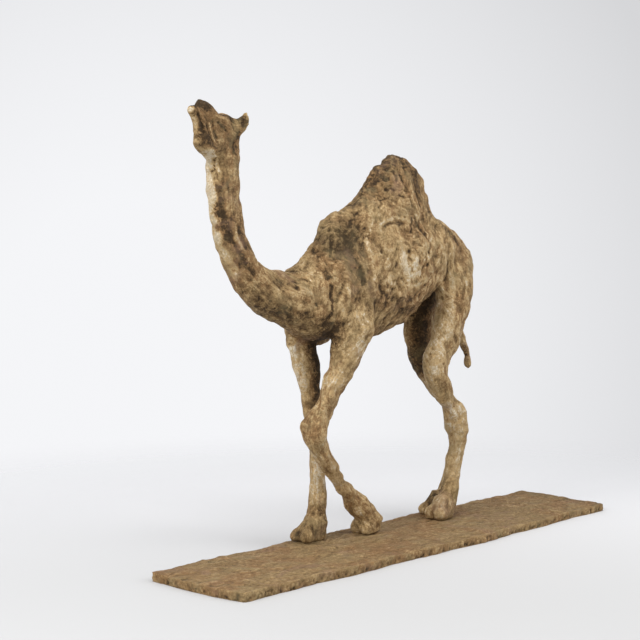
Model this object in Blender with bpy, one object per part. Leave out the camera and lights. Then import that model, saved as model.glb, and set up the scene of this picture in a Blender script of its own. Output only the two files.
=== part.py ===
# Bronze camel on a long, thin, rough-edged plank. The animal walks towards -X with its
# head raised and turned a little to its own left (-Y). Z is up and the plank's underside is at 0.
import math

import bmesh
import bpy
import numpy as np
from mathutils import Matrix, Vector, noise

# Driving sizes in metres.
PLANK_LENGTH = 0.800
PLANK_WIDTH = 0.160
PLANK_THICKNESS = 0.011
FIGURE_HEIGHT = 0.588
SEAT_GAP = 0.0003
FIGURE_SIDE_SHIFT = 0.325 * PLANK_WIDTH
CLAY_GRAIN = 0.0026
CLAY_LUMP = 0.016
CLAY_LUMP_HEIGHT = 0.005
RIM_CRUMBLE = 0.0028
TOP_DIP = 0.0016

# Carriage of the head, in degrees.
HEAD_RAISE = 27.0
HEAD_TURN = 17.0

# Sizes of the figure below are hundredths of its height: x from the plank's middle,
# y from the figure's own middle plane, z from the plank's top face.
HUNDREDTH = FIGURE_HEIGHT / 100.0
FOOT = Vector((0.0, FIGURE_SIDE_SHIFT, PLANK_THICKNESS))
ACROSS = Vector((0.0, 1.0, 0.0))

# Places of the feet: near front, far front, near hind, far hind.
FOOT_PLACES = ((-4.8, -1.5), (-20.6, 2.2), (21.8, -3.6), (26.4, 1.7))

for old in list(bpy.data.objects):
    bpy.data.objects.remove(old, do_unlink=True)


def at(x, y, z):
    """A place on the figure, from hundredths of its height to metres."""
    return Vector((x, y, z)) * HUNDREDTH + FOOT


def bronze(name, colour, roughness):
    material = bpy.data.materials.new(name)
    material.use_nodes = True
    shader = material.node_tree.nodes["Principled BSDF"]
    shader.inputs["Base Color"].default_value = (*colour, 1.0)
    shader.inputs["Metallic"].default_value = 0.6
    shader.inputs["Roughness"].default_value = roughness
    material.diffuse_color = (*colour, 1.0)
    return material


def curve_through(rows, steps):
    """Catmull-Rom curve through rows of numbers, with the given steps between two rows."""
    rows = np.array(rows, float)
    padded = np.vstack([2 * rows[0] - rows[1], rows, 2 * rows[-1] - rows[-2]])
    found = []
    for k in range(len(rows) - 1):
        a, b, c, d = padded[k : k + 4]
        for step in range(steps):
            t = step / steps
            bend = 2 * a - 5 * b + 4 * c - d
            twist = 3 * b - a - 3 * c + d
            found.append(0.5 * (2 * b + (c - a) * t + bend * t * t + twist * t**3))
    found.append(rows[-1])
    return found


def strand(clay, rows, steps=6, sides=20, across=ACROSS, place=at, level=None):
    """Rounded limb along rows of x, y, z, half-width across, half-thickness in its own plane.

    With a level direction given, every ring lies square to it.
    """
    line = curve_through(rows, steps)
    centres = [place(*row[:3]) for row in line]
    first = -level if level else (centres[0] - centres[1]).normalized()
    last = level if level else (centres[-1] - centres[-2]).normalized()
    rings = []
    for tip in (0.96, 0.75, 0.4):
        size = math.sqrt(1.0 - tip * tip)
        reach = tip * min(line[0][3], line[0][4]) * HUNDREDTH
        rings.append((centres[0] + first * reach, -first, line[0][3] * size, line[0][4] * size))
    for k, row in enumerate(line):
        before = centres[max(k - 1, 0)]
        after = centres[min(k + 1, len(line) - 1)]
        rings.append((centres[k], level or (after - before).normalized(), row[3], row[4]))
    for tip in (0.4, 0.75, 0.96):
        size = math.sqrt(1.0 - tip * tip)
        reach = tip * min(line[-1][3], line[-1][4]) * HUNDREDTH
        rings.append((centres[-1] + last * reach, last, line[-1][3] * size, line[-1][4] * size))
    loops = []
    for centre, ahead, wide, thick in rings:
        wide_way = (across - ahead * across.dot(ahead)).normalized()
        thick_way = ahead.cross(wide_way)
        loop = []
        for side in range(sides):
            turn = 2.0 * math.pi * side / sides
            reach = wide_way * (math.cos(turn) * wide) + thick_way * (math.sin(turn) * thick)
            loop.append(clay.verts.new(centre + reach * HUNDREDTH))
        loops.append(loop)
    for one, two in zip(loops, loops[1:]):
        for side in range(sides):
            after = (side + 1) % sides
            clay.faces.new((one[side], one[after], two[after], two[side]))
    clay.faces.new(list(reversed(loops[0])))
    clay.faces.new(loops[-1])


def mass(clay, centre, radii, turn=0.0, lean=0.0, roll=0.0, place=at):
    """Egg-shaped lump of clay: half-sizes along x, y, z, then turned about z, y and x in degrees."""
    frame = Matrix.Rotation(math.radians(turn), 4, "Z")
    frame = frame @ Matrix.Rotation(math.radians(lean), 4, "Y")
    frame = frame @ Matrix.Rotation(math.radians(roll), 4, "X")
    size = Matrix.Diagonal((*[radius * HUNDREDTH for radius in radii], 1.0))
    where = Matrix.Translation(place(*centre)) @ frame @ size
    bmesh.ops.create_uvsphere(clay, u_segments=20, v_segments=12, radius=1.0, matrix=where)


def build_trunk(clay):
    # Rows of x, top, bottom, half-width from the chest to the rump.
    outline = [
        (-29.0, 61.4, 49.2, 6.0),
        (-25.5, 62.2, 47.6, 6.8),
        (-21.5, 64.6, 46.8, 7.4),
        (-16.2, 70.6, 46.0, 8.2),
        (-8.5, 75.6, 46.6, 9.0),
        (-2.0, 78.2, 48.4, 9.4),
        (4.4, 79.4, 50.8, 9.4),
        (11.0, 79.4, 54.6, 9.0),
        (17.0, 78.2, 58.0, 8.4),
        (23.0, 75.4, 60.2, 7.8),
        (28.6, 71.0, 61.0, 6.6),
    ]
    rows = []
    for x, top, bottom, half in outline:
        rows.append((x, 0.0, (top + bottom) / 2.0, half, (top - bottom) / 2.0))
    strand(clay, rows, steps=5, sides=28)
    withers = [
        (-25.0, 0.0, 59.8, 3.0, 3.2),
        (-21.8, 0.0, 63.6, 3.2, 3.4),
        (-19.2, 0.0, 68.2, 3.2, 3.7),
        (-16.8, 0.0, 72.5, 3.4, 4.0),
        (-13.0, 0.0, 73.8, 3.8, 3.8),
        (-8.0, 0.0, 75.4, 4.2, 4.2),
    ]
    strand(clay, withers)


def build_hump(clay):
    rows = [
        (-0.5, 0.0, 68.0, 8.0, 19.5),
        (0.5, 0.0, 73.0, 7.4, 18.6),
        (2.8, 0.0, 77.5, 6.6, 16.3),
        (4.6, 0.0, 81.0, 5.8, 12.4),
        (5.8, 0.0, 84.6, 5.0, 10.2),
        (6.4, 0.0, 88.0, 3.8, 7.8),
        (6.4, 0.0, 90.0, 2.4, 4.8),
    ]
    strand(clay, rows, steps=5, sides=28, level=Vector((0.0, 0.0, 1.0)))


def build_neck(clay):
    rows = [
        (-20.4, 0.0, 59.4, 6.8, 9.0),
        (-28.5, 0.0, 57.2, 6.3, 7.3),
        (-33.5, 0.0, 57.1, 5.4, 6.1),
        (-38.6, 0.0, 58.1, 4.7, 5.0),
        (-43.2, 0.0, 61.3, 4.1, 4.5),
        (-47.0, 0.0, 65.7, 3.7, 4.1),
        (-49.6, 0.0, 70.6, 3.4, 4.1),
        (-51.0, 0.0, 76.0, 3.2, 3.9),
        (-51.7, 0.0, 82.0, 3.1, 3.8),
        (-51.7, 0.0, 88.0, 3.2, 3.9),
    ]
    strand(clay, rows, steps=5, sides=22)


def head_place(forward, left, up):
    """A place on the head, in hundredths along its own length, to its left and above its middle."""
    raise_turn = math.radians(HEAD_RAISE)
    side_turn = math.radians(HEAD_TURN)
    ahead = Vector((-math.cos(side_turn), -math.sin(side_turn), 0.0))
    along = ahead * math.cos(raise_turn) + Vector((0.0, 0.0, math.sin(raise_turn)))
    leftward = Vector((math.sin(side_turn), -math.cos(side_turn), 0.0))
    upward = leftward.cross(along) * -1.0
    shift = along * forward + leftward * left + upward * up
    return at(-51.6, 0.0, 91.2) + shift * HUNDREDTH


def build_head(clay):
    side_turn = math.radians(HEAD_TURN)
    leftward = Vector((math.sin(side_turn), -math.cos(side_turn), 0.0))
    skull = [
        (-1.4, 0.0, 1.2, 3.0, 3.3),
        (0.8, 0.0, 1.8, 3.2, 4.0),
        (3.8, 0.0, 1.3, 3.0, 3.3),
        (6.6, 0.0, 1.3, 2.3, 2.2),
        (9.0, 0.0, 1.8, 2.0, 1.8),
        (11.2, 0.0, 1.95, 1.9, 1.6),
    ]
    strand(clay, skull, across=leftward, place=head_place)
    jaw = [
        (3.0, 0.0, -4.0, 2.4, 2.4),
        (6.6, 0.0, -4.8, 2.2, 2.3),
        (9.0, 0.0, -3.5, 1.9, 1.9),
        (10.6, 0.0, -2.2, 1.6, 1.4),
        (12.0, 0.0, -1.6, 1.4, 1.2),
    ]
    strand(clay, jaw, across=leftward, place=head_place)
    mass(clay, (13.9, 0.0, -0.9), (1.45, 1.5, 1.45), place=head_place)
    mouth = [
        (1.0, 0.0, -1.6, 2.3, 2.4),
        (5.0, 0.0, -1.6, 2.1, 2.2),
        (9.0, 0.0, -0.6, 1.3, 1.8),
        (11.4, 0.0, -0.1, 1.1, 1.3),
    ]
    strand(clay, mouth, across=leftward, place=head_place)
    ear_rows = [
        (-0.6, 0.0, 0.0, 0.8, 0.8),
        (1.0, 0.0, 0.0, 1.5, 0.9),
        (2.4, 0.0, 0.0, 1.35, 0.8),
        (3.6, 0.0, 0.0, 0.8, 0.6),
        (4.2, 0.0, 0.0, 0.3, 0.3),
    ]
    near_ear = (Vector((0.2, 3.6, 3.2)), Vector((0.25, -0.15, 0.93)))
    far_ear = (Vector((-1.6, -3.0, 2.4)), Vector((0.86, 0.42, 0.2)))
    for root, way in (near_ear, far_ear):
        base = head_place(*root)

        def ear_place(along, unused_y, unused_z, base=base, way=way.normalized()):
            return base + way * (along * HUNDREDTH)

        strand(clay, ear_rows, sides=12, across=Vector((0.64, -0.69, -0.33)), place=ear_place)


def build_tail(clay):
    rows = [
        (29.0, 0.0, 66.0, 2.2, 2.2),
        (32.6, 0.0, 61.0, 1.4, 1.4),
        (33.6, 0.0, 55.0, 1.2, 1.2),
        (32.8, 0.0, 49.0, 1.15, 1.15),
        (33.9, 0.0, 45.0, 1.1, 1.1),
        (35.8, 0.0, 42.2, 1.0, 1.0),
        (36.5, 0.0, 40.0, 1.0, 1.0),
        (36.7, 0.0, 38.4, 1.1, 1.1),
    ]
    strand(clay, rows, sides=12)


def build_foot(clay, place, toe_spread, reach):
    """Broad two-toed pad under a leg: heel, sloping instep and two toes that point forward."""
    x, y = place
    mass(clay, (x - 0.2, y, 1.8), (3.2, 2.7, 3.4))
    mass(clay, (x - 1.2, y, 3.2), (3.8, 2.4, 2.8), lean=-32.0)
    for side in (1.0, -1.0):
        tip = (x - reach, y + toe_spread * side, 1.3)
        mass(clay, tip, (2.6, 1.55, 2.1), turn=-8.0 * side)


def build_front_legs(clay):
    near = [
        (-19.6, -4.2, 62.0, 2.6, 5.4),
        (-17.8, -5.2, 54.0, 3.2, 6.0),
        (-16.8, -5.6, 46.5, 3.2, 4.9),
        (-19.2, -4.8, 39.5, 2.6, 3.6),
        (-22.6, -3.8, 32.5, 2.4, 3.0),
        (-26.2, -3.0, 27.0, 2.7, 3.1),
        (-23.4, -2.8, 20.8, 2.0, 2.1),
        (-17.4, -2.2, 14.4, 1.6, 1.6),
        (-11.2, -1.9, 9.2, 2.1, 2.4),
        (-6.6, -1.6, 4.9, 2.6, 3.1),
    ]
    strand(clay, near)
    build_foot(clay, FOOT_PLACES[0], 1.6, 2.6)
    far = [
        (-21.6, 4.4, 60.0, 2.6, 5.6),
        (-22.0, 5.0, 52.0, 3.0, 5.4),
        (-21.6, 5.2, 45.0, 2.8, 4.3),
        (-20.0, 4.6, 36.0, 2.3, 3.0),
        (-18.6, 4.0, 27.6, 2.4, 2.8),
        (-18.4, 3.6, 21.0, 1.9, 2.2),
        (-18.8, 3.2, 13.0, 1.9, 2.1),
        (-19.2, 3.0, 7.4, 2.2, 2.4),
        (-19.6, 2.5, 3.4, 2.4, 2.6),
    ]
    strand(clay, far)
    build_foot(clay, FOOT_PLACES[1], 1.5, 3.9)


def build_hind_legs(clay):
    near = [
        (24.0, -4.0, 66.0, 4.0, 6.8),
        (23.2, -5.4, 57.0, 3.7, 5.9),
        (19.8, -5.8, 46.8, 3.2, 4.7),
        (14.9, -5.9, 39.8, 2.9, 3.8),
        (17.1, -5.6, 34.8, 2.5, 3.1),
        (22.3, -5.0, 29.6, 2.2, 2.6),
        (25.5, -4.6, 26.0, 2.5, 3.5),
        (26.5, -4.3, 20.0, 2.1, 2.7),
        (25.6, -4.0, 13.0, 1.9, 2.2),
        (24.2, -3.7, 7.6, 2.3, 2.4),
        (23.2, -3.6, 3.8, 2.5, 2.6),
    ]
    strand(clay, near)
    build_foot(clay, FOOT_PLACES[2], 1.6, 2.8)
    far = [
        (25.6, 4.0, 64.0, 4.0, 7.0),
        (24.4, 5.0, 57.0, 3.4, 6.0),
        (22.8, 5.4, 50.0, 3.1, 5.0),
        (23.4, 5.2, 40.6, 2.7, 3.6),
        (28.0, 4.6, 33.8, 2.2, 2.7),
        (34.4, 4.0, 28.0, 2.0, 2.3),
        (37.2, 3.8, 25.0, 1.9, 2.3),
        (36.4, 3.4, 18.6, 1.7, 1.8),
        (34.0, 3.0, 12.4, 1.7, 1.7),
        (31.2, 2.6, 7.2, 1.9, 1.9),
        (28.4, 2.0, 3.6, 2.1, 2.1),
    ]
    strand(clay, far)
    build_foot(clay, FOOT_PLACES[3], 1.5, 3.6)


def build_muscles(clay):
    for side in (-1.0, 1.0):
        mass(clay, (-19.0, 5.2 * side, 57.5), (5.8, 3.2, 8.6), lean=-12.0)
        mass(clay, (-15.0, 6.2 * side, 51.0), (5.4, 3.2, 6.0), lean=20.0)
        mass(clay, (24.2, 4.2 * side, 64.0), (6.8, 4.2, 8.0), lean=10.0)
        mass(clay, (2.0, 5.6 * side, 62.0), (11.0, 4.2, 9.0), lean=-20.0)


def new_object(name, clay, material):
    mesh = bpy.data.meshes.new(name)
    clay.to_mesh(mesh)
    clay.free()
    body = bpy.data.objects.new(name, mesh)
    bpy.context.scene.collection.objects.link(body)
    mesh.materials.append(material)
    for face in mesh.polygons:
        face.use_smooth = True
    return body


def build_camel():
    clay = bmesh.new()
    build_trunk(clay)
    build_hump(clay)
    build_neck(clay)
    build_head(clay)
    build_tail(clay)
    build_front_legs(clay)
    build_hind_legs(clay)
    build_muscles(clay)
    bmesh.ops.recalc_face_normals(clay, faces=clay.faces)
    camel = new_object("camel", clay, bronze("camel_bronze", (0.32, 0.24, 0.15), 0.62))
    remesh = camel.modifiers.new("one_body", "REMESH")
    remesh.mode = "VOXEL"
    remesh.voxel_size = CLAY_GRAIN
    remesh.use_smooth_shade = True
    smooth = camel.modifiers.new("thumbed", "SMOOTH")
    smooth.factor = 0.5
    smooth.iterations = 14
    lumps = bpy.data.textures.new("clay_lumps", "CLOUDS")
    lumps.noise_scale = CLAY_LUMP
    lumps.noise_depth = 1
    knead = camel.modifiers.new("kneaded", "DISPLACE")
    knead.texture = lumps
    knead.texture_coords = "LOCAL"
    knead.strength = CLAY_LUMP_HEIGHT
    knead.mid_level = 0.5
    fewer = camel.modifiers.new("fewer", "DECIMATE")
    fewer.ratio = 0.047
    cutter_clay = bmesh.new()
    deep = 0.1
    size = Matrix.Diagonal((2.0 * PLANK_LENGTH, 4.0 * PLANK_WIDTH, deep, 1.0))
    level = PLANK_THICKNESS + SEAT_GAP
    where = Matrix.Translation((0.0, 0.0, level - deep / 2.0)) @ size
    bmesh.ops.create_cube(cutter_clay, size=1.0, matrix=where)
    cutter = new_object("sole_cut", cutter_clay, camel.data.materials[0])
    cutter.hide_render = True
    cutter.display_type = "WIRE"
    cut = camel.modifiers.new("flat_soles", "BOOLEAN")
    cut.operation = "DIFFERENCE"
    cut.solver = "EXACT"
    cut.object = cutter
    return camel


def rough(x, y, size, seed):
    """Smooth noise between -1 and 1 with lumps about as wide as the given size."""
    return noise.noise(Vector((x / size, y / size, seed)))


def plank_outline(along, across):
    """A place on the plank's top from shares of its half-length and half-width, rim crumbled."""
    x = along * PLANK_LENGTH / 2.0
    y = across * PLANK_WIDTH / 2.0
    rear = max(0.0, along)
    side = max(0.0, across)
    near = max(0.0, -across)
    x += 0.022 * PLANK_LENGTH * rear**8 * (0.5 + 0.5 * across)
    x -= 0.03 * PLANK_WIDTH * rear**8 * side**6
    x -= 0.03 * PLANK_WIDTH * max(0.0, -along) ** 8 * (0.5 + 0.5 * across)
    y -= 0.040 * PLANK_WIDTH * near**2 * (1.0 - along**2)
    y += 0.028 * PLANK_WIDTH * side**2 * math.cos(math.pi * along * 2.6) ** 2 * (1.0 - along**2)
    ends = abs(along) ** 12
    x += ends * RIM_CRUMBLE * (rough(x, y, 0.045, 3.1) * 1.6 + rough(x, y, 0.014, 7.7))
    sides = abs(across) ** 8
    y += sides * RIM_CRUMBLE * (rough(x, y, 0.060, 5.3) * 1.6 + rough(x, y, 0.016, 9.1))
    corner = (abs(along) ** 30) * (abs(across) ** 8)
    x -= math.copysign(corner * 0.02 * PLANK_WIDTH, along)
    return x, y


def plank_height(x, y, along, across):
    """Height of the plank's top: hollows from pressing, a worn rim, and flats where the feet stand."""
    dip = TOP_DIP * (0.5 + 0.5 * rough(x, y, 0.030, 1.7)) + 0.4 * TOP_DIP * abs(rough(x, y, 0.012, 4.9))
    rim = max(abs(along) ** 60, abs(across) ** 14)
    stand = 0.0
    for foot_x, foot_y in FOOT_PLACES:
        spot = at(foot_x, foot_y, 0.0)
        away = math.hypot(x - spot.x, y - spot.y) / (6.4 * HUNDREDTH)
        stand = max(stand, min(1.0, max(0.0, 2.0 * (1.3 - away))))
    return PLANK_THICKNESS - (1.0 - stand) * (dip + 0.25 * TOP_DIP * rim)


def build_base():
    """Plank of rough bronze: flat underside, crumbled rim and a top that is flat where the feet stand."""
    along_steps = 62
    across_steps = 12
    clay = bmesh.new()
    tops = []
    for i in range(along_steps + 1):
        row = []
        for j in range(across_steps + 1):
            along = 2.0 * i / along_steps - 1.0
            across = math.sin(math.pi / 2.0 * (2.0 * j / across_steps - 1.0))
            x, y = plank_outline(along, across)
            row.append(clay.verts.new((x, y, plank_height(x, y, along, across))))
        tops.append(row)
    for one, two in zip(tops, tops[1:]):
        for j in range(across_steps):
            clay.faces.new((one[j], two[j], two[j + 1], one[j + 1]))
    ring = [row[0] for row in tops] + tops[-1][1:]
    ring += [row[-1] for row in reversed(tops[:-1])] + list(reversed(tops[0][1:-1]))
    waist = []
    foot = []
    for vert in ring:
        bulge = 1.0 + 0.012 * rough(vert.co.x, vert.co.y, 0.02, 2.3)
        waist.append(clay.verts.new((vert.co.x * (1.0 + 0.003), vert.co.y * bulge * 1.01, PLANK_THICKNESS * 0.5)))
        foot.append(clay.verts.new((vert.co.x * 0.998, vert.co.y * bulge * 0.99, 0.0)))
    for upper, lower in ((ring, waist), (waist, foot)):
        for k in range(len(ring)):
            after = (k + 1) % len(ring)
            clay.faces.new((upper[k], lower[k], lower[after], upper[after]))
    clay.faces.new(list(reversed(foot)))
    bmesh.ops.recalc_face_normals(clay, faces=clay.faces)
    return new_object("base", clay, bronze("base_bronze", (0.27, 0.20, 0.13), 0.7))


build_camel()
build_base()
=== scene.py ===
# Bronze camel on a long rough plank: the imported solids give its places, this gives its skin.
import math

import bmesh
import bpy
import numpy as np
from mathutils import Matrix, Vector


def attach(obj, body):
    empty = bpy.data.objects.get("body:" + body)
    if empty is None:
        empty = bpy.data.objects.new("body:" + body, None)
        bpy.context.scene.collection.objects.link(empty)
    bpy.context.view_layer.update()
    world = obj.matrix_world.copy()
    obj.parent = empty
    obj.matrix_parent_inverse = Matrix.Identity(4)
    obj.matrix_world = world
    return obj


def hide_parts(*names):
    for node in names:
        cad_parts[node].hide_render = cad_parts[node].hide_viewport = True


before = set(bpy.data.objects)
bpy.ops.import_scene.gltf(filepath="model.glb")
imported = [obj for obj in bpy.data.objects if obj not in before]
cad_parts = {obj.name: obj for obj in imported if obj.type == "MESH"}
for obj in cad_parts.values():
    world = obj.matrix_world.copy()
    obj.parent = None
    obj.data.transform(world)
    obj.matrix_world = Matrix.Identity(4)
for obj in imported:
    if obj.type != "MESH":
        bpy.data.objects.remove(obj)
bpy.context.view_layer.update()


# Camel: one bronze cast of a figure that was pressed together from small dabs of clay. Its skin
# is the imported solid, kneaded again finely. The feet are fixed to the plank by their soles.
FIGURE_HEIGHT = 0.588
SOLE_LEVEL = 0.0113
PLANK_TOP = 0.011
MIDDLE_PLANE = 0.052
CLAY_GRAIN = 0.00255
THUMBED_ROUNDS = 8
HUNDREDTH = FIGURE_HEIGHT / 100.0
MILLIMETRE = 0.001


def on_figure(points):
    """Hundredths of the figure's height (x, y, z rows) to metres: scale, then shift to its feet."""
    return np.array(points, float) * HUNDREDTH + (0.0, MIDDLE_PLANE, PLANK_TOP)


def merged_copy(node, name):
    """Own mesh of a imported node, with the corners of its loose triangles merged."""
    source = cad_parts[node].data
    clay = bmesh.new()
    clay.from_mesh(source)
    bmesh.ops.remove_doubles(clay, verts=clay.verts, dist=1e-6)
    mesh = bpy.data.meshes.new(name)
    clay.to_mesh(mesh)
    clay.free()
    piece = bpy.data.objects.new(name, mesh)
    bpy.context.scene.collection.objects.link(piece)
    return piece


def kneaded(piece, grain, rounds):
    """Even quads of one grain over the piece's surface, its facets smoothed away in some rounds."""
    remesh = piece.modifiers.new("grain", "REMESH")
    remesh.mode = "VOXEL"
    remesh.voxel_size = grain
    smooth = piece.modifiers.new("thumbed", "SMOOTH")
    smooth.factor = 0.5
    smooth.iterations = rounds
    graph = bpy.context.evaluated_depsgraph_get()
    mesh = bpy.data.meshes.new_from_object(piece.evaluated_get(graph))
    piece.modifiers.clear()
    old = piece.data
    piece.data = mesh
    bpy.data.meshes.remove(old)
    return piece


def refined(piece, centre, reach):
    """Quads within reach of a centre are cut in four, for finer carving there."""
    clay = bmesh.new()
    clay.from_mesh(piece.data)
    near = [face for face in clay.faces if (face.calc_center_median() - Vector(centre)).length < reach]
    edges = sorted({edge for face in near for edge in face.edges}, key=lambda edge: edge.index)
    bmesh.ops.subdivide_edges(clay, edges=edges, cuts=1, use_grid_fill=True)
    clay.to_mesh(piece.data)
    clay.free()


class Skin:
    """The points, normals and edges of a mesh as whole arrays, and moves of all points at once."""

    def __init__(self, mesh):
        self.mesh = mesh
        count = len(mesh.vertices)
        self.points = np.empty(count * 3)
        mesh.vertices.foreach_get("co", self.points)
        self.points = self.points.reshape(-1, 3)
        self.edges = np.empty(len(mesh.edges) * 2, np.int64)
        mesh.edges.foreach_get("vertices", self.edges)
        self.edges = self.edges.reshape(-1, 2)
        self.links = np.bincount(self.edges.ravel(), minlength=count) + 1e-9
        self.normals = self.read_normals()

    def read_normals(self):
        """The points' normals as the mesh now gives them."""
        self.mesh.update()
        found = np.empty(len(self.mesh.vertices) * 3)
        self.mesh.vertices.foreach_get("normal", found)
        return found.reshape(-1, 3)

    def place(self, points):
        """Every point moves to its new place."""
        self.points = points
        self.mesh.vertices.foreach_set("co", points.ravel())
        self.normals = self.read_normals()

    def push(self, height):
        """Every point moves along its normal by its own height in metres."""
        self.place(self.points + self.normals * height[:, None])

    def averaged(self, rounds):
        """The points blurred over the skin: each round is half of a point and half its neighbours' mean."""
        one, two = self.edges.T
        count = len(self.points)
        columns = []
        for column in self.points.T:
            for _ in range(rounds):
                taken = np.bincount(one, column[two], count) + np.bincount(two, column[one], count)
                column = 0.5 * column + 0.5 * taken / self.links
            columns.append(column)
        return np.stack(columns, 1)

    def hollowness(self, rounds):
        """How far a point lies below the blurred skin around it, in metres; ridges are negative."""
        return ((self.averaged(rounds) - self.points) * self.normals).sum(1)

    def keep(self, name, values):
        """Stores a number or an x, y, z row per point as an attribute that the finish can read."""
        kind, field = ("FLOAT", "value") if values.ndim == 1 else ("FLOAT_VECTOR", "vector")
        layer = self.mesh.attributes.new(name, kind, "POINT")
        layer.data.foreach_set(field, values.astype(np.float32).ravel())


def scattered(cells, seed):
    """An even random number from 0 to 1 for each whole-number cell: x, y, z and seed times primes, mixed."""
    cells = cells.astype(np.int64)
    mixed = cells[..., 0] * 73856093 ^ cells[..., 1] * 19349663 ^ cells[..., 2] * 83492791
    mixed = (mixed ^ (seed * 40503)) & 0xFFFFFFFF
    mixed = ((mixed ^ (mixed >> 15)) * 739982445) & 0xFFFFFFFF
    mixed = ((mixed ^ (mixed >> 12)) * 695872825) & 0xFFFFFFFF
    return (mixed ^ (mixed >> 15)) / 4294967296.0


def waves(points, size, seed):
    """Smooth noise from -1 to 1: random corner values of a cubic lattice, blended by s*s*(3-2s)."""
    spot = points / size
    cell = np.floor(spot)
    part = spot - cell
    part = part * part * (3.0 - 2.0 * part)
    total = np.zeros(len(points))
    for corner in np.ndindex(2, 2, 2):
        share = np.prod(np.where(np.array(corner) == 1, part, 1.0 - part), axis=1)
        total += share * scattered(cell + corner, seed)
    return total * 2.0 - 1.0


def clouds(points, size, seed, rounds=3):
    """Waves of one size plus waves of half the size and height, and so on, from about -1 to 1."""
    total = np.zeros(len(points))
    for step in range(rounds):
        total += waves(points, size * 0.5**step, seed + step) * 0.5**step
    return total


def wandering(points, size, seed, rounds=1):
    """Three clouds side by side, one each for x, y and z, by which a pattern is bent."""
    return np.stack([clouds(points, size, seed + k, rounds) for k in range(3)], 1)


def cells_around(points, size, seed):
    """Gives each of the 27 cells round every point, with the gap from a random spot in it to the point."""
    cell = np.floor(points / size)
    for offset in np.ndindex(3, 3, 3):
        there = cell + (np.array(offset) - 1)
        jitter = np.stack([scattered(there, seed + k) for k in range(3)], 1)
        yield there, points - (there + jitter) * size


def dabs(points, normals, grain_way, size, stretch, seed):
    """Dabs of clay pressed on here and there: each is lift + tilt * along + 0.5 * (1 - d^2), 0 outside.

    Five in six cells of the lattice hold a dab, each of its own size, lift and tilt, and none reaches
    further than one cell. Where two lie over each other the higher one shows. Gives about 0 to 1.
    """
    across = np.cross(normals, grain_way)
    best = np.zeros(len(points))
    for there, gap in cells_around(points, size, seed):
        reach = size * (0.60 + 0.40 * scattered(there, seed + 3)) / stretch
        gap = gap / reach[:, None]
        along = (gap * grain_way).sum(1) / stretch
        aside = (gap * across).sum(1)
        away = (gap * normals).sum(1)
        far = along * along + aside * aside + 0.4 * away * away
        lift = 0.5 * scattered(there, seed + 4) + 0.4 * (scattered(there, seed + 5) - 0.5) * along
        crown = (lift + 0.5 * (1.0 - far)) * np.clip(2.4 * (1.0 - far), 0.0, 1.0)
        best = np.maximum(best, np.where(far < 1.0, crown, 0.0) * (scattered(there, seed + 6) < 0.83))
    return best


def pricks(points, size, seed):
    """Small round pits: exp(-(d/r)^2) round a random spot in one cell in six, r from 1.2 to 2.8 mm."""
    best = np.zeros(len(points))
    for there, gap in cells_around(points, size, seed):
        radius = 0.0012 + 0.0016 * scattered(there, seed + 5)
        bell = np.exp(-((np.linalg.norm(gap, axis=1) / radius) ** 2))
        best = np.maximum(best, bell * (scattered(there, seed + 4) < 0.16))
    return best


def drawn(points, way, size, reach, seed):
    """Waves smeared along a way on the skin: nine readings within reach, added up and scaled to -1 to 1."""
    total = np.zeros(len(points))
    for step in range(-4, 5):
        total += waves(points + way * (reach * step / 4.0), size, seed)
    return total / 4.0


def creases(points, size, width, seed):
    """Short curved cracks: exp(-(w/width)^2) of bent waves w, kept only where a second wave is high."""
    bent = points + 0.4 * size * wandering(points, 0.7 * size, seed)
    line = np.exp(-((waves(bent, size, seed + 5) / width) ** 2))
    return line * np.clip(waves(bent, 0.9 * size, seed + 6) * 3.0, 0.0, 1.0)


def near_line(points, line):
    """Distance from each point to the nearest of the straight stretches of a line, in metres."""
    nearest = np.full(len(points), 9.0)
    for one, two in zip(line[:-1], line[1:]):
        reach = two - one
        share = np.clip(((points - one) @ reach) / (reach @ reach), 0.0, 1.0)
        nearest = np.minimum(nearest, np.linalg.norm(points - one - share[:, None] * reach, axis=1))
    return nearest


def near_place(points, centre, radii):
    """Bell of 1 at a centre that falls off as exp(-(d/r)^2) with its own reach along x, y, z."""
    return np.exp(-(((points - centre) / radii) ** 2).sum(1))


def beside_line(points, line, width, squeeze):
    """Bell of 1 on a line that falls off as exp(-(d/w)^2), w in millimetres, d read in squeezed space."""
    away = near_line(points * squeeze, line * squeeze)
    return np.exp(-((away / (width * MILLIMETRE)) ** 2))


camel = kneaded(merged_copy("camel", "camel_skin"), CLAY_GRAIN, THUMBED_ROUNDS)

HEAD_RAISE = math.radians(27.0)
HEAD_TURN = math.radians(17.0)
head_along = np.array((-math.cos(HEAD_TURN), -math.sin(HEAD_TURN), math.tan(HEAD_RAISE)))
head_along *= math.cos(HEAD_RAISE)
head_left = np.array((math.sin(HEAD_TURN), -math.cos(HEAD_TURN), 0.0))
head_up = -np.cross(head_left, head_along)
head_root = on_figure((-51.6, 0.0, 91.2))


def on_head(points):
    """Hundredths along the head, to its left and above its middle, to metres."""
    points = np.array(points, float) * HUNDREDTH
    return head_root + points @ np.stack([head_along, head_left, head_up])


HEAD_MIDDLE = on_head((5.0, 0.0, 0.0))
HEAD_REACH = 0.072
refined(camel, HEAD_MIDDLE, HEAD_REACH)
skin = Skin(camel.data)

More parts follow.
